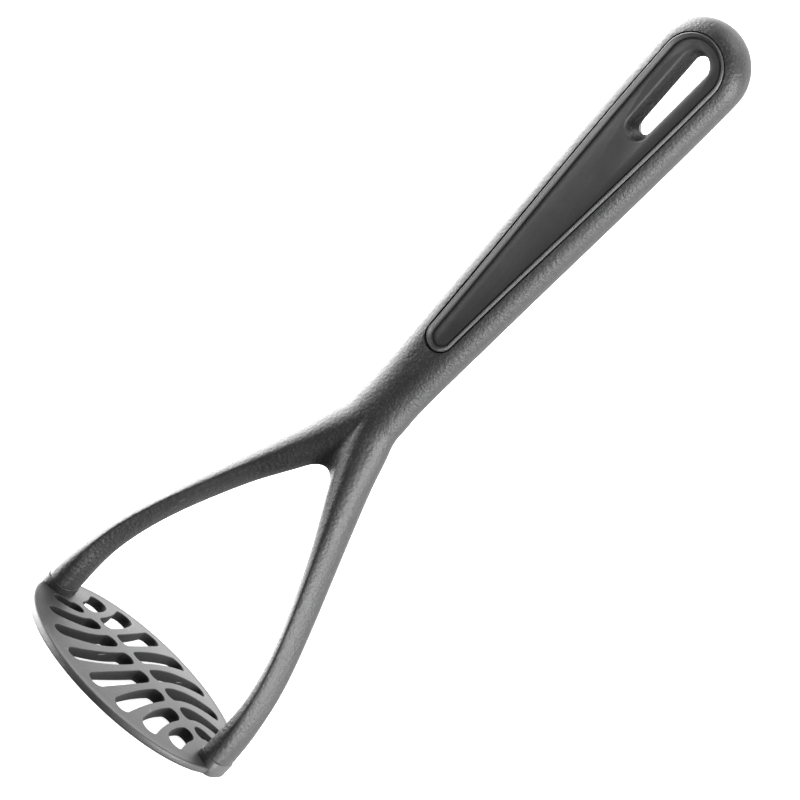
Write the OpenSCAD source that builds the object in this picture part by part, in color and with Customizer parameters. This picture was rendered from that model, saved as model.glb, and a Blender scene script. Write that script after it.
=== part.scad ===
// Potato masher: one long handle that forks into two prongs, a slotted plate
// carried between their feet, and an inlay let into each face of the handle.
// Millimetres. +Z runs up the handle, X from prong to prong, -Y is the front.
// The origin is at the middle of the plate's flat underside.

/* [Overall] */
// Height of the end of the handle above the underside of the plate
overall_l = 286; // [262:1:345]
// Thickness of the handle and neck, front to back
handle_t = 16.4; // [14:0.2:20]

/* [Handle] */
// Width of the handle across its round end
grip_w = 31.6; // [27:0.2:38]
// Width of the neck at its slimmest
neck_w = 18.8; // [16:0.2:24]
// Height of the slimmest place of the neck
neck_z = 126; // [120:1:150]
// Radius that rounds the sides of the handle
grip_r = 7; // [5:0.1:7.4]

/* [Fork] */
// Height at which the two prongs part
crotch_z = 95; // [88:1:106]
// Height at which the prongs leave the sides of the neck
fork_z = 110; // [104:1:118]
// Extra width that rounds the corner where a prong leaves the side of the neck
fork_fillet = 0.8; // [0:0.1:1.5]
// Width of a prong, side to side, where it is slimmest
prong_w = 8.7; // [7:0.1:11]
// Width of a prong at its foot
foot_w = 9.1; // [7:0.1:11]
// Depth of a prong at its foot, front to back
foot_d = 14.8; // [12:0.1:18]
// How far a foot stands proud of the plate's rim
foot_out = 1.15; // [0:0.05:2]

/* [Masher plate] */
// Outer diameter of the plate
plate_d = 82; // [72:1:104]
// Height of the plate's rim
rim_h = 2.5; // [2:0.1:4]
// Rise of the middle of the plate above its rim
dome_h = 3.1; // [1:0.1:6]
// Depth of the hollow under the plate
hollow_h = 1.4; // [0:0.1:2]
// Width of the flat ring that the plate rests on
ring_w = 5; // [3:0.1:8]
// Height of the pads that the prongs stand on, above the rim
pad_h = 2.7; // [2.2:0.1:4]
// How square a prong is where it meets its pad, from 1.5 (a blade) to 3 (a block)
foot_power = 2.3; // [1.5:0.1:3]
// Height over which a prong turns from a blade into its foot
foot_blend = 20; // [8:1:30]
// How square the pads are, from 1.6 (a blade) to 4 (a block)
pad_power = 3; // [1.6:0.1:4]
// Width of the solid band round the slots
band_w = 6; // [5:0.1:9]
// Width of the spine across the middle
spine_w = 4; // [3:0.1:6]
// Distance between slots along the spine
slot_pitch = 7.75; // [6:0.05:9.2]
// Width of a slot at the spine
slot_w = 4.8; // [3.6:0.1:5.4]
// Extra width at the outer end of the widest slot
slot_flare = 1.6; // [0:0.1:2.4]
// Turn between the outer ends of two neighbouring slots, in degrees
slot_turn = 19.6; // [17:0.1:21]

/* [Inlays] */
// Width of the handle left beside the lower end of an inlay
inlay_margin = 5.4; // [4.6:0.1:7]
// Width of the handle left beside the upper end of an inlay
inlay_top_margin = 4.8; // [4:0.1:6.4]
// Height of the lower end of the inlays
inlay_z = 147.5; // [140:0.5:175]
// Depth of the seat cut for an inlay
inlay_t = 2.6; // [2.2:0.1:4]
// Depth of the dished field of an inlay
dish_h = 1.5; // [0.6:0.1:1.7]
// Width of the slope round the dished field
dish_w = 1.6; // [0.8:0.1:2.4]
// Gap all round an inlay
inlay_gap = 0.25; // [0.1:0.05:0.5]

/* [Hanging hole] */
// Radius of the upper end of the hole, at its narrowest half way through
hole_top_r = 3; // [2.4:0.1:3.6]
// Radius of the lower end of the hole, at its narrowest
hole_low_r = 2.1; // [1:0.1:2.6]
// How much wider the hole is at each face than half way through
hole_draft = 2.7; // [0.4:0.1:2.9]
// Distance between the middles of the two ends
hole_l = 27; // [16:0.5:33]
// Distance from the end of the handle to the middle of the hole's upper end
hole_end = 15; // [12:0.5:19]

/* [Fits] */
// Diameter of the tenon under each prong
tenon_d = 5; // [4:0.1:6]
// Length of the tenon
tenon_l = 3.6; // [2:0.1:3.8]
// Clearance round and under a tenon
tenon_gap = 0.1; // [0.05:0.01:0.2]
// Diameter of the pegs behind the inlays
peg_d = 2.6; // [2:0.1:3.2]
// Length of the pegs
peg_l = 3; // [2:0.1:3.4]
// Clearance round and under a peg
peg_gap = 0.05; // [0.02:0.01:0.15]
// Thickness of the web between the two cores of the handle
web_t = 2.4; // [1.6:0.1:3]
// Width of the ledge that an inlay rests on
ledge_w = 1.6; // [1.2:0.1:2.2]
// Thickness of the cross walls that hold the pegs
wall_t = 6; // [5:0.2:8]
// Number of cross walls in each core
walls = 4; // [2:1:5]

/* [Hidden] */
$fn = 96;
black = [0.15, 0.15, 0.16];
panel_black = [0.19, 0.19, 0.2];
half_t = handle_t / 2;
end_r = grip_w / 2;
end_z = overall_l - end_r;
plate_r = plate_d / 2;
seat_z = rim_h + pad_h;
foot_x = plate_r + foot_out - foot_w / 2;
slots = 8;
slot_r = plate_r - band_w;
hole_top_z = overall_l - hole_end;
hole_low_z = hole_top_z - hole_l;
inlay_top_r = end_r - inlay_top_margin;
fillet_reach = 8;
eps = 0.01;

function lerp(a, b, k) = a + (b - a) * k;
function smooth(k) = k * k * (3 - 2 * k);
function clamp01(k) = min(1, max(0, k));
function bez3(p, k) = (1 - k) ^ 3 * p[0] + 3 * (1 - k) ^ 2 * k * p[1]
    + 3 * (1 - k) * k ^ 2 * p[2] + k ^ 3 * p[3];
function bez2(p, k) = (1 - k) ^ 2 * p[0] + 2 * (1 - k) * k * p[1] + k ^ 2 * p[2];

// ---- closed skin through a stack of rings that all have the same count of points
module loft(rings) {
    n = len(rings[0]);
    m = len(rings);
    points = [for (ring = rings) each ring];
    sides = [for (j = [0:m - 2], i = [0:n - 1])
        let (a = j * n + i, b = j * n + (i + 1) % n) each [[a, b + n, b], [a, a + n, b + n]]];
    bottom = [[for (i = [0:n - 1]) i]];
    top = [[for (i = [n - 1:-1:0]) (m - 1) * n + i]];
    polyhedron(points, concat(sides, bottom, top), convexity = 4);
}

// ---- handle and neck ----
// Half width of the handle at height z, above the neck
function grip_half(z) = let (k = clamp01((z - neck_z) / (end_z - neck_z)))
    lerp(neck_w / 2, end_r, (k + smooth(k)) / 2);
// The fillet swells over a short height about the corner outside the fork
function corner_fillet(z) = fork_fillet * exp(-(((z - fork_z - 1) / fillet_reach) ^ 2));
// Half width of the neck at height z, below its slimmest place
function flare_half(z) = neck_w / 2
    + (prong_x(0) + prong_half(fork_z) - neck_w / 2) * clamp01((neck_z - z) / (neck_z - fork_z)) ^ 2
    + corner_fillet(z);
// How far the section has turned from an oval into a bar with round sides
function bar_share(z) = lerp(0.2, 1, smooth(clamp01((z - neck_z) / (inlay_z + 12 - neck_z))));
// One ring of the handle: an oval and a round-sided bar mixed
function bar_ring(z, w, t, share) = let (r = min(grip_r, w * 0.96, t * 0.96), steps = 8)
    [for (q = [0:3], i = [0:steps])
        let (a = 90 * (q + i / steps),
             sx = (q == 0 || q == 3) ? 1 : -1,
             sy = (q < 2) ? 1 : -1,
             bar = [sx * (w - r) + r * cos(a), sy * (t - r) + r * sin(a)],
             oval = [w * cos(a), t * sin(a)],
             p = lerp(oval, bar, share)) [p[0], p[1], z]];

module grip_body() {
    neck_rings = [for (i = [0:6]) let (z = lerp(fork_z, neck_z, i / 7))
        bar_ring(z, flare_half(z), half_t, 0.2)];
    grip_rings = [for (i = [0:22]) let (z = lerp(neck_z, end_z, i / 22))
        bar_ring(z, grip_half(z), half_t, bar_share(z))];
    // the valley between the prongs thins away from the front and the back
    valley_rings = [for (i = [0:5]) let (k = i / 6, z = lerp(crotch_z, fork_z, k))
        bar_ring(z, lerp(neck_w * 0.29, flare_half(fork_z) - 0.5, k),
            lerp(half_t * 0.36, half_t, k), 0.2)];
    loft(concat(valley_rings, neck_rings, grip_rings));
}

// The round end carries the side profile of the bar round half a turn
module grip_end() {
    r = grip_r;
    profile = concat([[0, -half_t]],
        [for (i = [0:8]) let (a = -90 + 90 * i / 8) [end_r - r + r * cos(a), -(half_t - r) + r * sin(a)]],
        [for (i = [0:8]) [end_r - r + r * cos(90 * i / 8), half_t - r + r * sin(90 * i / 8)]],
        [[0, half_t]]);
    translate([0, 0, end_z]) rotate([90, 0, 0]) rotate_extrude($fn = 96) polygon(profile);
}

// ---- prongs ----
prong_path = [[prong_w * 0.085, fork_z + 6], [foot_x * 0.88, lerp(seat_z, fork_z, 0.36)],
    [foot_x, lerp(seat_z, fork_z, 0.28)], [foot_x, seat_z]];
function prong_x(k) = bez3([for (p = prong_path) p[0]], k);
function prong_z(k) = bez3([for (p = prong_path) p[1]], k);
// Half width of a prong at height z
slim_z = lerp(seat_z, fork_z, 0.35);
function prong_half(z) = z > slim_z
    ? prong_w / 2 + (neck_w * 0.4 - prong_w / 2) * min(1, (z - slim_z) / (fork_z - slim_z)) ^ 2
    : lerp(prong_w / 2, foot_w / 2, (slim_z - z) / (slim_z - seat_z));
function prong_depth(z) = lerp(foot_d / 2, half_t - 0.2, clamp01((z - seat_z) / (fork_z - seat_z)));
// A prong is lens shaped: a narrow nose in front and behind, fuller towards the neck
function nose_power(z) = lerp(1.45, 1.9, smooth(clamp01((z - slim_z) / (fork_z - slim_z))))
    + (foot_power - 1.45) * (1 - smooth(clamp01((z - seat_z) / foot_blend)));
function lens_ring(x, z, power) = let (w = prong_half(z), d = prong_depth(z), e = 2 / power, steps = 28)
    [for (i = [0:steps - 1]) let (a = 360 * i / steps, c = cos(a), s = sin(a))
        [x + (w + (c > 0 ? corner_fillet(z) : 0)) * sign(c) * abs(c) ^ e, d * sign(s) * abs(s) ^ e, z]];
module prong() {
    count = 22;
    loft([for (i = [count:-1:0]) let (z = prong_z(i / count))
        lens_ring(prong_x(i / count), z, nose_power(z))]);
    translate([foot_x, 0, seat_z - tenon_l]) cylinder(d = tenon_d, h = tenon_l + 1);
}

// ---- inlay outline: the side of the handle, stepped in by a margin, with round ends ----
function inlay_low_r(inset) = grip_half(inlay_z + 5) - inlay_margin - inset;
function inlay_low_z(inset) = inlay_z + inset + inlay_low_r(inset);
function inlay_side(inset) = let (low = inlay_low_z(inset), n = 10)
    [for (i = [0:n]) let (z = lerp(low, end_z, i / n), k = i / n)
        [lerp(inlay_low_r(inset), inlay_top_r - inset, (grip_half(z) - grip_half(low))
            / (end_r - grip_half(low))), z]];
function inlay_outline(inset) = let (side = inlay_side(inset), low = inlay_low_r(inset),
        top = inlay_top_r - inset, n = 12)
    concat(side,
        [for (i = [1:n - 1]) let (a = 180 * i / n) [top * cos(a), end_z + top * sin(a)]],
        [for (i = [len(side) - 1:-1:0]) [-side[i][0], side[i][1]]],
        [for (i = [1:n - 1]) let (a = 180 + 180 * i / n)
            [low * cos(a), inlay_low_z(inset) + low * sin(a)]]);
module inlay_prism(inset, y0, y1) {
    translate([0, y1, 0]) rotate([90, 0, 0]) linear_extrude(y1 - y0) polygon(inlay_outline(inset));
}

// ---- hanging hole: two round ends of different size and the straight sides between them ----
function hole_outline(grow, n = 12) = let (top = hole_top_r + grow, low = hole_low_r + grow,
        lean = asin((top - low) / hole_l))
    concat(
        [for (i = [0:n]) let (a = -lean + (180 + 2 * lean) * i / n)
            [top * cos(a), hole_top_z + top * sin(a)]],
        [for (i = [0:n]) let (a = 180 + lean + (180 - 2 * lean) * i / n)
            [low * cos(a), hole_low_z + low * sin(a)]]);
// The walls lean out from the middle of the handle to both faces
module hole_cutter() {
    out = half_t + 1;
    loft([for (y = [out, 0, -out])
        [for (p = hole_outline(hole_draft * abs(y) / half_t)) [p[0], y, p[1]]]]);
}

// ---- cored inside of the handle, front half; the back is its mirror ----
core_low = inlay_z + 8;
core_top = hole_low_z - hole_low_r - hole_draft - 3;
function wall_z(i) = lerp(core_low, core_top, i / (walls - 1));
module core_bay() {
    intersection() {
        inlay_prism(ledge_w, -(half_t - inlay_t + eps), -web_t / 2);
        for (i = [0:walls - 2]) {
            low = wall_z(i) + wall_t / 2;
            translate([-end_r, -half_t, low])
                cube([2 * end_r, half_t, wall_z(i + 1) - wall_t / 2 - low]);
        }
    }
}
module pegs(d, l, y) {
    for (i = [0:walls - 1])
        translate([0, y, wall_z(i)]) rotate([-90, 0, 0]) cylinder(d = d, h = l, $fn = 32);
}
module face_cuts() {
    inlay_prism(-inlay_gap, -half_t - 1, -(half_t - inlay_t));
    core_bay();
    pegs(peg_d + 2 * peg_gap, peg_l + peg_gap, -(half_t - inlay_t));
}

module handle_frame() {
    color(black) difference() {
        union() {
            grip_body();
            grip_end();
            prong();
            mirror([1, 0, 0]) prong();
        }
        face_cuts();
        mirror([0, 1, 0]) face_cuts();
        hole_cutter();
    }
}

// ---- masher plate ----
dome_r = plate_r - 1.6;
function dome_z(r) = rim_h + dome_h * (1 - (r / dome_r) ^ 2);
module plate_disc() {
    hollow_r = plate_r - ring_w;
    profile = concat(
        [for (i = [0:8]) let (k = i / 8) [hollow_r * k, hollow_h * (1 - k * k)]],
        [[plate_r - 0.6, 0], [plate_r, 0.5], [plate_r, rim_h - 0.6],
            [plate_r - 0.6, rim_h], [dome_r, rim_h]],
        [for (i = [11:-1:0]) [dome_r * i / 12, dome_z(dome_r * i / 12)]]);
    rotate_extrude($fn = 144) polygon(profile);
}
// Slot k runs from the spine and bends out to its own place on the band
function slot_path(k) = let (w = slot_w / 2, phi = (slots / 2 - 0.22 - k) * slot_turn,
        x = (k - (slots - 1) / 2) * slot_pitch, y = -spine_w / 2 - w, far = slot_r - w,
        end = [-far * sin(phi), -far * cos(phi)])
    [[x, y], [x, lerp(y, end[1], 0.5)], end];
function slot_outline(k) = let (p = slot_path(k), n = 7, caps = 6,
        half = function (t) (slot_w + slot_flare * t * k / (slots - 1)) / 2,
        mid = [for (i = [0:n]) bez2(p, i / n)],
        dir = [for (i = [0:n]) let (t = i / n, v = (1 - t) * (p[1] - p[0]) + t * (p[2] - p[1]))
            atan2(v[1], v[0])])
    concat(
        [for (i = [0:n]) mid[i] + half(i / n) * [cos(dir[i] - 90), sin(dir[i] - 90)]],
        [for (i = [1:caps - 1]) let (a = dir[n] - 90 + 180 * i / caps)
            mid[n] + half(1) * [cos(a), sin(a)]],
        [for (i = [n:-1:0]) mid[i] + half(i / n) * [cos(dir[i] + 90), sin(dir[i] + 90)]],
        [for (i = [1:caps - 1]) let (a = dir[0] + 90 + 180 * i / caps)
            mid[0] + half(0) * [cos(a), sin(a)]]);
module foot_pad() {
    linear_extrude(seat_z)
        polygon([for (p = lens_ring(foot_x, seat_z, pad_power)) [p[0], p[1]]]);
}
module masher_plate() {
    color(black) difference() {
        union() {
            difference() {
                plate_disc();
                for (turn = [0, 180], k = [0:slots - 1])
                    rotate([0, 0, turn]) translate([0, 0, -1]) linear_extrude(rim_h + dome_h + 2)
                        polygon(slot_outline(k));
            }
            for (turn = [0, 180]) rotate([0, 0, turn]) foot_pad();
        }
        for (side = [-1, 1]) translate([side * foot_x, 0, seat_z - tenon_l - tenon_gap])
            cylinder(d = tenon_d + 2 * tenon_gap, h = tenon_l + 1);
    }
}

// ---- inlays ----
module inlay() {
    rim_y = -(half_t - 0.2);
    field_y = rim_y + dish_h;
    difference() {
        union() {
            inlay_prism(0, rim_y, -(half_t - inlay_t));
            pegs(peg_d, peg_l, -(half_t - inlay_t));
        }
        // the dished field, its slope carried on out past the rim
        loft([for (step = [[dish_w, field_y], [-dish_w, rim_y - dish_h]])
            [for (p = inlay_outline(step[0])) [p[0], step[1], p[1]]]]);
        hole_cutter();
    }
}
module front_inlay() {
    color(panel_black) inlay();
}
module back_inlay() {
    color(panel_black) mirror([0, 1, 0]) inlay();
}

handle_frame();
masher_plate();
front_inlay();
back_inlay();
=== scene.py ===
import math

import bmesh
import bpy
from mathutils import Matrix, Vector


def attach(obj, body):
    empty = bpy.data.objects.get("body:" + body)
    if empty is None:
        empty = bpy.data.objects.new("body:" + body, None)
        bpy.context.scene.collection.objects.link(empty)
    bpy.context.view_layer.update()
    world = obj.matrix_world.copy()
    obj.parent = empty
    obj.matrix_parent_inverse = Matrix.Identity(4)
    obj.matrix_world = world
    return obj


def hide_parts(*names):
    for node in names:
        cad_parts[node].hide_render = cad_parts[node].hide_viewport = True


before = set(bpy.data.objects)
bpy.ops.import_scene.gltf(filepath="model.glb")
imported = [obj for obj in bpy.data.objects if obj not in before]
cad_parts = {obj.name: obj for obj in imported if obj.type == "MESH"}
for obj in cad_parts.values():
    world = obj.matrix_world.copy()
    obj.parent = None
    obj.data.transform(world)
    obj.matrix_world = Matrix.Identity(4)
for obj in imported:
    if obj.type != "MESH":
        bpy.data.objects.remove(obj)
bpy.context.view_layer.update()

# ---- Camera ----------------------------------------------------------------
# A long lens, a little to the right of the masher's front and a little above
# it, rolled so that the handle runs up to the right across the square frame.
azimuth, elevation, roll = math.radians(17.5), math.radians(17.8), math.radians(43.05)
aim = Vector((0.0021, 0.0, 0.1263))
view_width = 0.24615
stand_off = 8.0
level = Vector((math.cos(azimuth), math.sin(azimuth), 0))
level_part = math.cos(elevation)
back = Vector((math.sin(azimuth) * level_part, -math.cos(azimuth) * level_part, math.sin(elevation)))
upright = back.cross(level)
across = math.cos(roll) * level + math.sin(roll) * upright
upward = back.cross(across)
lens = bpy.data.cameras.new("long_lens")
lens.sensor_width = 36
lens.lens = 36 * stand_off / view_width
lens.clip_start, lens.clip_end = 0.5, 40
camera = bpy.data.objects.new("camera", lens)
bpy.context.scene.collection.objects.link(camera)
camera_axes = Matrix((across, upward, back)).transposed().to_4x4()
camera.matrix_world = Matrix.Translation(aim + back * stand_off) @ camera_axes
bpy.context.scene.camera = camera

# ---- Floor -----------------------------------------------------------------
# A wide sheet of white studio paper that the masher stands on, lit from below
# as well as from above, so that it stays white right up to the plate.
paper = bmesh.new()
bmesh.ops.create_grid(paper, x_segments=24, y_segments=24, size=9)
paper_mesh = bpy.data.meshes.new("studio_floor")
paper.to_mesh(paper_mesh)
paper.free()
floor = bpy.data.objects.new("studio_floor", paper_mesh)
bpy.context.scene.collection.objects.link(floor)
paper_white = bpy.data.materials.new("studio_paper")
paper_white.use_nodes = True
paper_shader = paper_white.node_tree.nodes["Principled BSDF"]
paper_shader.inputs["Base Color"].default_value = (0.93, 0.93, 0.93, 1)
paper_shader.inputs["Roughness"].default_value = 0.9
paper_shader.inputs["Specular IOR Level"].default_value = 0.1
paper_shader.inputs["Emission Color"].default_value = (1, 1, 1, 1)
paper_shader.inputs["Emission Strength"].default_value = 0.9
paper_mesh.materials.append(paper_white)
floor.visible_glossy = floor.visible_diffuse = False

# ---- Studio light ----------------------------------------------------------
# A bright wall to the left, paler ones behind and to the right, a dim one on the
# camera's side, and three soft boxes. The black plastic mirrors the walls, so
# they give its sides their bright edges and leave its front dark.
bpy.context.scene.view_settings.view_transform = "Standard"
room = bpy.data.worlds.new("studio_room")
room.use_nodes = True
bpy.context.scene.world = room
room_tree = room.node_tree
room_way = room_tree.nodes.new("ShaderNodeTexCoord")


def wall(facing, reach, glow):
    # glow of a wall that lies in the direction facing, and fades out over reach
    side = room_tree.nodes.new("ShaderNodeVectorMath")
    side.operation = "DOT_PRODUCT"
    side.inputs[1].default_value = Vector(facing).normalized()
    room_tree.links.new(room_way.outputs["Generated"], side.inputs[0])
    fade = room_tree.nodes.new("ShaderNodeMapRange")
    fade.interpolation_type = "SMOOTHSTEP"
    fade.inputs["From Min"].default_value, fade.inputs["From Max"].default_value = reach
    fade.inputs["To Max"].default_value = glow
    room_tree.links.new(side.outputs["Value"], fade.inputs["Value"])
    return fade.outputs["Result"]


def joined(how, first, second):
    step = room_tree.nodes.new("ShaderNodeMath")
    step.operation = how
    for socket, part in zip(step.inputs, (first, second)):
        if isinstance(part, float):
            socket.default_value = part
        else:
            room_tree.links.new(part, socket)
    return step.outputs[0]


left_wall = wall((-0.94, 0.15, -0.3), (0.5, 0.95), 11.0)
right_wall = wall((0.97, 0.1, -0.3), (0.2, 0.9), 2.1)
back_wall = wall((-0.286, 0.908, 0.306), (0.5, 1.0), 2.2)
above_floor = wall((0, 0, 1), (-0.85, -0.35), 1.0)
room_glow = 0.36
walls = joined("ADD", joined("ADD", joined("ADD", left_wall, right_wall), back_wall), room_glow)
backdrop = room_tree.nodes["Background"]
backdrop.inputs["Color"].default_value = (1, 1, 1, 1)
room_tree.links.new(joined("MULTIPLY", walls, above_floor), backdrop.inputs["Strength"])


def soft_box(name, place, size, power, look_at=(0, 0, 0.14)):
    light = bpy.data.lights.new(name, "AREA")
    light.shape = "RECTANGLE"
    light.size, light.size_y = size
    light.energy = power
    box = bpy.data.objects.new(name, light)
    bpy.context.scene.collection.objects.link(box)
    box.location = place
    box.rotation_euler = (Vector(look_at) - Vector(place)).to_track_quat("-Z", "Y").to_euler()
    box.visible_camera = False


soft_box("left_box", (-1.3, 0.15, 0.25), (0.6, 1.0), 18)
soft_box("right_box", (1.3, -0.1, 0.25), (0.7, 1.1), 36)
soft_box("top_box", (0.1, 0.2, 1.5), (0.8, 0.8), 12)

# ---- Handle, neck and prongs -----------------------------------------------
# One moulding in black glass-filled nylon: a flat handle with rounded sides, a
# slim neck, and two blade-like prongs that part below it. The mould leaves a
# fine even grain all over. A shallow seat is moulded in each face for an inlay.
half_t = 8.2
neck_half, neck_z = 9.4, 126.0
end_half, end_z = 15.8, 270.2
side_r = 7.0
fork_z, seat_z = 110.0, 5.2
foot_x, foot_half, foot_depth = 37.6, 4.55, 7.4
prong_slim, prong_thick = 4.35, 7.52
slim_z = 41.9
prong_bend = ((0.74, 116.0), (33.09, 42.93), (foot_x, 34.54), (foot_x, seat_z))
seat_floor = 5.6
fork_fillet, fillet_reach = 0.8, 8
web_swell, web_low, web_reach = 1.2, 70, 22
foot_blend = 20
path_steps, body_steps, fork_steps = 27, 30, 5
end_steps = 16


def mix(a, b, k):
    return a + (b - a) * k


def eased(k):
    k = min(1.0, max(0.0, k))
    return k * k * (3 - 2 * k)


def handle_half(z):
    k = min(1.0, max(0.0, (z - neck_z) / (end_z - neck_z)))
    return mix(neck_half, end_half, (k + eased(k)) / 2)


def bezier(points, k):
    a, b, c, d = (1 - k) ** 3, 3 * (1 - k) ** 2 * k, 3 * (1 - k) * k * k, k ** 3
    return tuple(a * p + b * q + c * r + d * s for p, q, r, s in zip(*points))


def prong_middle(z):
    low, high = 0.0, 1.0
    for _ in range(40):
        k = (low + high) / 2
        low, high = (k, high) if bezier(prong_bend, k)[1] > z else (low, k)
    return bezier(prong_bend, low)[0]


def prong_half(z):
    if z > slim_z:
        return prong_slim + (prong_thick - prong_slim) * min(1, (z - slim_z) / (fork_z - slim_z)) ** 2
    return mix(prong_slim, foot_half, (slim_z - z) / (slim_z - seat_z))


def outer_fillet(z):
    return fork_fillet * math.exp(-((z - fork_z - 1) / fillet_reach) ** 2)


def on_prong(angle, z, square=0):
    # a blade section: a narrow nose in front and behind, fuller at the neck and foot
    blade = mix(1.45, 1.9, eased((z - slim_z) / (fork_z - slim_z)))
    blade += 0.85 * (1 - eased((z - seat_z) / foot_blend))
    power = 2 / (square or blade)
    c, s = math.cos(math.radians(angle)), math.sin(math.radians(angle))
    depth = mix(foot_depth, half_t - 0.2, min(1, (z - seat_z) / (fork_z - seat_z)))
    # the inner side swells into the crotch, and the outer side into the neck
    swell = web_swell * eased((z - web_low) / web_reach) if c < 0 else outer_fillet(z)
    x = prong_middle(z) + (prong_half(z) + swell) * math.copysign(abs(c) ** power, c)
    return (x, depth * math.copysign(abs(s) ** power, s), z)


def on_bar(k, z, half, share):
    # half a section, front to back in 16 steps: an oval turning into a bar
    turn = math.radians(-90 + 11.25 * k)
    oval = (half * math.cos(turn), half_t * math.sin(turn))
    if k in (0, 8, 16):
        bar = ((0, -half_t), (half, 0), (0, half_t))[k // 8]
    else:
        i, side = (k - 1, -1) if k < 8 else (k - 9, 1)
        a = math.radians(-90 + 15 * i if k < 8 else 15 * i)
        bar = (half - side_r + side_r * math.cos(a), side * (half_t - side_r) + side_r * math.sin(a))
    return (mix(oval[0], bar[0], share), mix(oval[1], bar[1], share), z)


outer_turns = [-125, -106, -90, -76, -60, -44, -29, -14, 0, 14, 29, 44, 60, 76, 90, 106, 125]
inner_turns = [125 + 110 * j / 16 for j in range(1, 16)]


def crotch_at(angle):
    low, high = 88.0, 116.0
    for _ in range(40):
        z = (low + high) / 2
        low, high = (z, high) if on_prong(angle, z)[0] > 0 else (low, z)
    return low


def split_at(angle):
    lean = math.cos(math.radians(angle))
    if lean < -0.57:
        return crotch_at(angle) - 5.0 * lean ** 4
    return mix(crotch_at(125) - 1.0, 110.5, (lean + 0.574) / 1.574)


body_rows = []
edge_row = [on_bar(k, end_z, end_half, 1) for k in range(17)]
for i in range(end_steps, 0, -1):
    turn = math.radians(90 * i / end_steps)
    body_rows.append([(x * math.cos(turn), y, end_z + x * math.sin(turn)) for x, y, z in edge_row])
for i in range(body_steps, -1, -1):
    z = mix(neck_z, end_z, i / body_steps)
    share = mix(0.2, 1, eased((z - neck_z) / 33.5))
    body_rows.append([on_bar(k, z, handle_half(z), share) for k in range(17)])
fork_spread = prong_middle(fork_z) + prong_half(fork_z) - neck_half
for i in range(fork_steps - 1, -1, -1):
    row = []
    for k, angle in enumerate(outer_turns):
        z = mix(split_at(angle), neck_z, i / fork_steps)
        near = eased(i / fork_steps * 1.4)
        spread = neck_half + fork_spread * max(0, (neck_z - z) / (neck_z - fork_z)) ** 2 + outer_fillet(z)
        above, below = on_bar(k, z, spread, 0.2), on_prong(angle, z)
        row.append((0 if k in (0, 16) else mix(below[0], above[0], near), mix(below[1], above[1], near), z))
    body_rows.append(row)
prong_rows = [body_rows[-1] + [(0.0, on_prong(a, crotch_at(a))[1], split_at(a)) for a in inner_turns]]
for i in range(1, path_steps):
    u = i / (path_steps - 1) * 0.9975
    prong_rows.append([on_prong(a, mix(split_at(a), seat_z, u)) for a in outer_turns + inner_turns])
prong_rows.append([on_prong(a, seat_z) for a in outer_turns + inner_turns])
prong_rows.append([(foot_x + (x - foot_x) * 0.93, y * 0.97, z) for x, y, z in prong_rows[-1]])


def piece_from(name, points, faces):
    # points are in millimetres, and doubled ones are welded
    build = bmesh.new()
    verts = [build.verts.new(p) for p in points]
    for face in faces:
        build.faces.new([verts[i] for i in face])
    bmesh.ops.remove_doubles(build, verts=build.verts, dist=0.004)
    bmesh.ops.dissolve_degenerate(build, edges=build.edges, dist=0.001)
    bmesh.ops.recalc_face_normals(build, faces=build.faces)
    bmesh.ops.scale(build, vec=(0.001, 0.001, 0.001), verts=build.verts)
    mesh = bpy.data.meshes.new(name)
    build.to_mesh(mesh)
    build.free()
    piece = bpy.data.objects.new(name, mesh)
    bpy.context.scene.collection.objects.link(piece)
    return piece


def stacked(rows):
    # a closed skin through rings of equal count, with a face at each end
    n = len(rows[0])
    points = [p for row in rows for p in row]
    faces = [(j * n + i, j * n + (i + 1) % n, (j + 1) * n + (i + 1) % n, (j + 1) * n + i)
             for j in range(len(rows) - 1) for i in range(n)]
    faces += [tuple(range(n)), tuple((len(rows) - 1) * n + i for i in range(n))]
    return points, faces


def settled(piece):
    bpy.context.view_layer.update()
    done = piece.evaluated_get(bpy.context.evaluated_depsgraph_get())
    mesh = bpy.data.meshes.new_from_object(done)
    piece.modifiers.clear()
    piece.data = mesh
    return piece


def cut(piece, *tools, how="DIFFERENCE"):
    for tool in tools:
        step = piece.modifiers.new("cut", "BOOLEAN")
        step.operation, step.solver, step.object = how, "MANIFOLD", tool
        settled(piece)
        bpy.data.objects.remove(tool)
    return piece


def smooth_shaded(piece, crease=32):
    mesh = piece.data
    mesh.polygons.foreach_set("use_smooth", [True] * len(mesh.polygons))
    mesh.set_sharp_from_angle(angle=math.radians(crease))
    return piece


def right_and_left(points, faces):
    n = len(points)
    other_points = [(-x, y, z) for x, y, z in points]
    other_faces = [tuple(n + i for i in reversed(face)) for face in faces]
    return points + other_points, faces + other_faces


points, faces = [], []
for row in body_rows:
    points += row
faces += [(j * 17 + i, j * 17 + i + 1, (j + 1) * 17 + i + 1, (j + 1) * 17 + i)
          for j in range(len(body_rows) - 1) for i in range(16)]
start = len(points)
for row in prong_rows:
    points += row
for j in range(len(prong_rows) - 1):
    above, below = start + j * 32, start + (j + 1) * 32
    for i in range(32):
        k = (i + 1) % 32
        faces.append((above + i, above + k, below + k, below + i))
faces.append(tuple(start + (len(prong_rows) - 1) * 32 + i for i in range(32)))
handle = piece_from("handle_and_prongs", *right_and_left(points, faces))
rounding = handle.modifiers.new("rounding", "SUBSURF")
rounding.levels = rounding.render_levels = 2
settled(handle)

inlay_margin, inlay_low, inlay_round = 5.4, 147.5, 11.0


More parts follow.
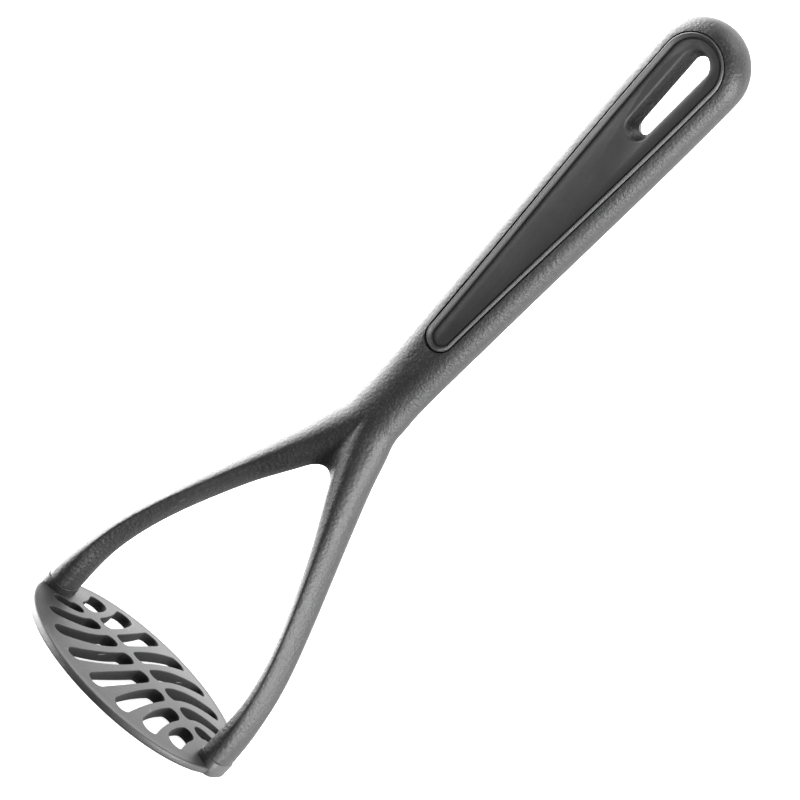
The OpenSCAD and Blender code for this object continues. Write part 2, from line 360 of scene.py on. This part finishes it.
def inlay_outline(inset, n=28, caps=20):
    low_r = handle_half(inlay_low + 5) - inlay_margin - inset
    low_z = inlay_low + inset + low_r
    top_r = inlay_round - inset
    side = []
    for i in range(n + 1):
        z = mix(low_z, end_z, i / n)
        k = (handle_half(z) - handle_half(low_z)) / (end_half - handle_half(low_z))
        side.append((mix(low_r, top_r, k), z))
    over = [math.pi * i / caps for i in range(1, caps)]
    return (side + [(top_r * math.cos(a), end_z + top_r * math.sin(a)) for a in over]
            + [(-x, z) for x, z in reversed(side)]
            + [(-low_r * math.cos(a), low_z - low_r * math.sin(a)) for a in over])


hole_top, hole_low, hole_lean = (3.0, 271.0), (2.1, 244.0), 2.7 / 8.2


def hole_outline(grow, n=20):
    lean = math.asin((hole_top[0] - hole_low[0]) / (hole_top[1] - hole_low[1]))
    rim = []
    ends = ((hole_top, -lean, math.pi + 2 * lean), (hole_low, math.pi + lean, math.pi - 2 * lean))
    for (radius, z), start_turn, span in ends:
        for i in range(n + 1):
            a = start_turn + span * i / n
            rim.append(((radius + grow) * math.cos(a), z + (radius + grow) * math.sin(a)))
    return rim


def depth_stack(name, outline, steps, side=-1):
    # steps are (distance from the middle plane, growth of the outline)
    return piece_from(name, *stacked([[(x, side * y, z) for x, z in outline(g)] for y, g in steps]))


for side in (-1, 1):
    seat = depth_stack("inlay_seat", inlay_outline,
                       ((seat_floor, -0.4), (7.6, -0.4), (8.0, -0.6), (9.5, -1.6)), side)
    cut(handle, seat)
past_face = 9
hole_mouth = past_face * hole_lean
through = ((-past_face, hole_mouth), (0, 0), (past_face, hole_mouth))
cut(handle, depth_stack("hole_tool", hole_outline, through))
smooth_shaded(handle)


def link(tree, source, target):
    tree.links.new(source, target)


def colour_band(tree, source, *stops):
    ramp = tree.nodes.new("ShaderNodeValToRGB")
    for element, (position, colour) in zip(ramp.color_ramp.elements, stops):
        element.position, element.color = position, (*colour, 1)
    link(tree, source, ramp.inputs["Fac"])
    return ramp.outputs["Color"]


def moulded(name, dark, light, rough, grain, bump, fleck, worn):
    # grain is the size of the mould's grain in metres, and bump its depth
    material = bpy.data.materials.new(name)
    material.use_nodes = True
    tree = material.node_tree
    shader = tree.nodes["Principled BSDF"]
    shader.inputs["IOR"].default_value = 1.53
    place = tree.nodes.new("ShaderNodeTexCoord")
    fine = tree.nodes.new("ShaderNodeTexNoise")
    fine.inputs["Scale"].default_value = 1 / grain
    fine.inputs["Detail"].default_value = 3
    fine.inputs["Roughness"].default_value = 0.62
    pebble = tree.nodes.new("ShaderNodeTexVoronoi")
    pebble.feature = "SMOOTH_F1"
    pebble.inputs["Scale"].default_value = 0.55 / grain
    broad = tree.nodes.new("ShaderNodeTexNoise")
    broad.inputs["Scale"].default_value = 85
    broad.inputs["Detail"].default_value = 4
    for texture in (fine, pebble, broad):
        link(tree, place.outputs["Object"], texture.inputs["Vector"])
    relief = tree.nodes.new("ShaderNodeMath")
    relief.operation = "ADD"
    link(tree, fine.outputs["Fac"], relief.inputs[0])
    link(tree, pebble.outputs["Distance"], relief.inputs[1])
    raised = tree.nodes.new("ShaderNodeBump")
    raised.inputs["Strength"].default_value = 1.0
    raised.inputs["Distance"].default_value = bump
    link(tree, relief.outputs[0], raised.inputs["Height"])
    link(tree, raised.outputs["Normal"], shader.inputs["Normal"])
    shade = colour_band(tree, broad.outputs["Fac"], (0.32, dark), (0.7, light))
    flecks = colour_band(tree, fine.outputs["Fac"], (0.56, (0, 0, 0)), (0.74, (fleck, fleck, fleck)))
    flecked = tree.nodes.new("ShaderNodeMix")
    flecked.data_type, flecked.blend_type = "RGBA", "ADD"
    flecked.inputs["Factor"].default_value = 1.0
    link(tree, shade, flecked.inputs[6])
    link(tree, flecks, flecked.inputs[7])
    shape = tree.nodes.new("ShaderNodeNewGeometry")
    edges = tree.nodes.new("ShaderNodeMapRange")
    edges.inputs["From Min"].default_value, edges.inputs["From Max"].default_value = 0.53, 0.62
    edges.inputs["To Min"].default_value, edges.inputs["To Max"].default_value = 0.0, 0.6
    link(tree, shape.outputs["Pointiness"], edges.inputs["Value"])
    rubbed = tree.nodes.new("ShaderNodeMix")
    rubbed.data_type = "RGBA"
    rubbed.inputs[7].default_value = (*worn, 1)
    link(tree, edges.outputs["Result"], rubbed.inputs["Factor"])
    link(tree, flecked.outputs[2], rubbed.inputs[6])
    link(tree, rubbed.outputs[2], shader.inputs["Base Color"])
    matt = tree.nodes.new("ShaderNodeMapRange")
    matt.inputs["To Min"].default_value, matt.inputs["To Max"].default_value = rough
    link(tree, broad.outputs["Fac"], matt.inputs["Value"])
    link(tree, matt.outputs["Result"], shader.inputs["Roughness"])
    return material


grained_nylon = moulded("grained_nylon", dark=(0.010, 0.010, 0.0105), light=(0.017, 0.017, 0.0175),
                        rough=(0.4, 0.54), grain=0.00055, bump=0.00013, fleck=0.05, worn=(0.07, 0.07, 0.07))
handle.data.materials.clear()
handle.data.materials.append(grained_nylon)
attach(handle, "root")
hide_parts("handle_frame")

# ---- Inlays ----------------------------------------------------------------
# A thin panel of smoother black nylon pressed into each face of the handle. Its
# rim stands just under the handle's surface, and a slope runs down from it to a
# flat field, which the hanging hole passes through.
rim_y, field_y = 8.0, 6.5
inlay_steps = ((seat_floor, 0), (7.55, 0), (7.82, 0.12), (rim_y, 0.32), (rim_y, 0.4),
               (7.9, 0.52), (6.95, 1.3), (6.7, 1.42), (6.05, 1.5), (5.95, 1.6),
               (5.95, 1.85), (6.05, 1.95), (6.4, 2.02), (field_y, 2.15))
hole_steps = [(y, y * hole_lean + soft) for y, soft in
              ((4.5, 0), (5.9, 0), (6.2, 0.05), (6.38, 0.18), (field_y, 0.42), (7.2, 0.5))]
smooth_nylon = moulded("inlay_nylon", dark=(0.048, 0.048, 0.049), light=(0.06, 0.06, 0.061),
                       rough=(0.42, 0.52), grain=0.0003, bump=0.00002, fleck=0.008, worn=(0.05, 0.05, 0.05))
for name, side in (("front", -1), ("back", 1)):
    inlay = depth_stack(name + "_panel", inlay_outline, inlay_steps, side)
    cut(inlay, depth_stack("hole_tool", hole_outline, hole_steps, side))
    smooth_shaded(inlay, 40)
    inlay.data.materials.clear()
    inlay.data.materials.append(smooth_nylon)
    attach(inlay, "root")
    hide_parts(name + "_inlay")

# ---- Masher plate ----------------------------------------------------------
# A round plate in the same nylon, domed on top and hollow below, with sixteen
# curved slots that fan out from a spine across its middle. The prongs' feet are
# welded to two pads on its rim. Its edges are rubbed lighter by use.
plate_r, rim_h, dome_h, hollow_h = 41.0, 2.5, 3.1, 1.4
dome_r, over_r, hollow_r = 39.4, 39.3, 36
pad_square, ring_parts = 3.0, 240
slot_half, slot_reach, slot_step, slot_turn, slot_flare = 2.4, 32.6, 7.75, 19.6, 1.6


def dome(r):
    return rim_h + dome_h * (1 - min(1, r / dome_r) ** 2)


def turned(profile, segments):
    rows = []
    for i in range(segments):
        a = 2 * math.pi * i / segments
        rows.append([(r * math.cos(a), r * math.sin(a), z) for r, z in profile])
    n = len(profile)
    points = [p for row in rows for p in row]
    faces = [(i * n + j, ((i + 1) % segments) * n + j, ((i + 1) % segments) * n + j + 1, i * n + j + 1)
             for i in range(segments) for j in range(n - 1)]
    return points, faces


under = [(hollow_r * i / 12, hollow_h * (1 - (i / 12) ** 2)) for i in range(13)]
over = [(over_r * i / 22, dome(over_r * i / 22)) for i in range(22, -1, -1)]
edge = [(40.3, 0), (40.72, 0.12), (40.93, 0.36), (plate_r, 0.7), (plate_r, 1.85),
        (40.92, 2.2), (40.7, 2.42), (40.4, rim_h), (39.6, rim_h)]
plate = piece_from("slotted_plate", *turned(under + edge + over, ring_parts))


def slot_outline(k, grow, n=20, caps=12):
    turn = math.radians((3.78 - k) * slot_turn)
    x, y = (k - 3.5) * slot_step, -2 - slot_half
    end = Vector((-slot_reach * math.sin(turn), -slot_reach * math.cos(turn)))
    a, b = Vector((x, y)), Vector((x, mix(y, end.y, 0.5)))
    spine = []
    for i in range(n + 1):
        t = i / n
        middle = (1 - t) ** 2 * a + 2 * t * (1 - t) * b + t * t * end
        run = ((1 - t) * (b - a) + t * (end - b)).normalized()
        half = slot_half + slot_flare * t * k / 14 + grow
        spine.append((middle, run, half))
    rim = [m + h * Vector((d.y, -d.x)) for m, d, h in spine]
    m, d, h = spine[-1]
    turn_end = math.atan2(d.y, d.x)
    for i in range(1, caps):
        angle = turn_end - math.pi / 2 + math.pi * i / caps
        rim.append(m + h * Vector((math.cos(angle), math.sin(angle))))
    rim += [m + h * Vector((-d.y, d.x)) for m, d, h in reversed(spine)]
    m, d, h = spine[0]
    turn_end = math.atan2(d.y, d.x) + math.pi
    for i in range(1, caps):
        angle = turn_end - math.pi / 2 + math.pi * i / caps
        rim.append(m + h * Vector((math.cos(angle), math.sin(angle))))
    return rim


# steps are (growth of the slot, depth below the plate's top), and the first is under the plate
slot_edge = ((0.0, None), (0.0, 0.4), (0.05, 0.2), (0.15, 0.06), (0.3, -0.05), (0.6, -0.5))
slot_points, slot_faces = [], []
for flip in (1, -1):
    for k in range(8):
        rows = []
        for grow, drop in slot_edge:
            rows.append([(flip * p.x, flip * p.y, -1 if drop is None else dome(p.length) - drop)
                         for p in slot_outline(k, grow)])
        points, faces = stacked(rows)
        base = len(slot_points)
        slot_points += points
        slot_faces += [tuple(base + i for i in f) for f in faces]
slots = piece_from("slot_tool", slot_points, slot_faces)
cut(plate, slots)
pad_steps = ((0, 0.97), (0.3, 1.0), (seat_z - 0.35, 1.0), (seat_z - 0.12, 0.985), (seat_z, 0.95))
for side in (-1, 1):
    pad_rows = []
    for z, shrink in pad_steps:
        ring = [on_prong(a, seat_z, pad_square) for a in outer_turns + inner_turns]
        pad_rows.append([(side * (foot_x + (x - foot_x) * shrink), y * (1 + (shrink - 1) / 2), z)
                         for x, y, _ in ring])
    cut(plate, piece_from("foot_pad", *stacked(pad_rows)), how="UNION")
smooth_shaded(plate, 30)
plate_nylon = moulded("plate_nylon", dark=(0.02, 0.02, 0.0205), light=(0.035, 0.035, 0.0355),
                      rough=(0.36, 0.5), grain=0.0004, bump=0.00005, fleck=0.03, worn=(0.1, 0.1, 0.1))


def paint_slot_shade(material, rim_from, rim_to):
    # painted shade: the slots' walls are darkened nearly to black, standing in for the shade inside the
    # slots, and made dull; the top and everything further out than the rim's place stay as they are
    tree = material.node_tree
    shader = tree.nodes["Principled BSDF"]
    surface = tree.nodes.new("ShaderNodeNewGeometry")
    upright_part = tree.nodes.new("ShaderNodeSeparateXYZ")
    link(tree, surface.outputs["Normal"], upright_part.inputs[0])
    top = tree.nodes.new("ShaderNodeMapRange")
    top.inputs["From Min"].default_value, top.inputs["From Max"].default_value = 0.3, 0.85
    top.inputs["To Min"].default_value = 0.1
    link(tree, upright_part.outputs["Z"], top.inputs["Value"])
    place = tree.nodes.new("ShaderNodeTexCoord")
    flat = tree.nodes.new("ShaderNodeVectorMath")
    flat.operation = "MULTIPLY"
    flat.inputs[1].default_value = (1, 1, 0)
    link(tree, place.outputs["Object"], flat.inputs[0])
    from_middle = tree.nodes.new("ShaderNodeVectorMath")
    from_middle.operation = "LENGTH"
    link(tree, flat.outputs["Vector"], from_middle.inputs[0])
    rim = tree.nodes.new("ShaderNodeMapRange")
    rim.inputs["From Min"].default_value, rim.inputs["From Max"].default_value = rim_from, rim_to
    link(tree, from_middle.outputs["Value"], rim.inputs["Value"])
    open_face = tree.nodes.new("ShaderNodeMath")
    open_face.operation = "MAXIMUM"
    link(tree, top.outputs["Result"], open_face.inputs[0])
    link(tree, rim.outputs["Result"], open_face.inputs[1])
    # painted shade: the colour is multiplied down to a tenth on the slots' walls
    colour = tree.nodes.new("ShaderNodeMix")
    colour.data_type, colour.blend_type = "RGBA", "MULTIPLY"
    colour.inputs["Factor"].default_value = 1.0
    link(tree, shader.inputs["Base Color"].links[0].from_socket, colour.inputs[6])
    link(tree, open_face.outputs[0], colour.inputs[7])
    link(tree, colour.outputs[2], shader.inputs["Base Color"])
    dull = tree.nodes.new("ShaderNodeMix")
    dull.inputs[2].default_value = 0.9
    link(tree, open_face.outputs[0], dull.inputs["Factor"])
    link(tree, shader.inputs["Roughness"].links[0].from_socket, dull.inputs[3])
    link(tree, dull.outputs[0], shader.inputs["Roughness"])


# paint shade into the slots' walls, inside the rim
paint_slot_shade(plate_nylon, 0.0385, 0.0395)
plate.data.materials.clear()
plate.data.materials.append(plate_nylon)
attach(plate, "root")
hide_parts("masher_plate")
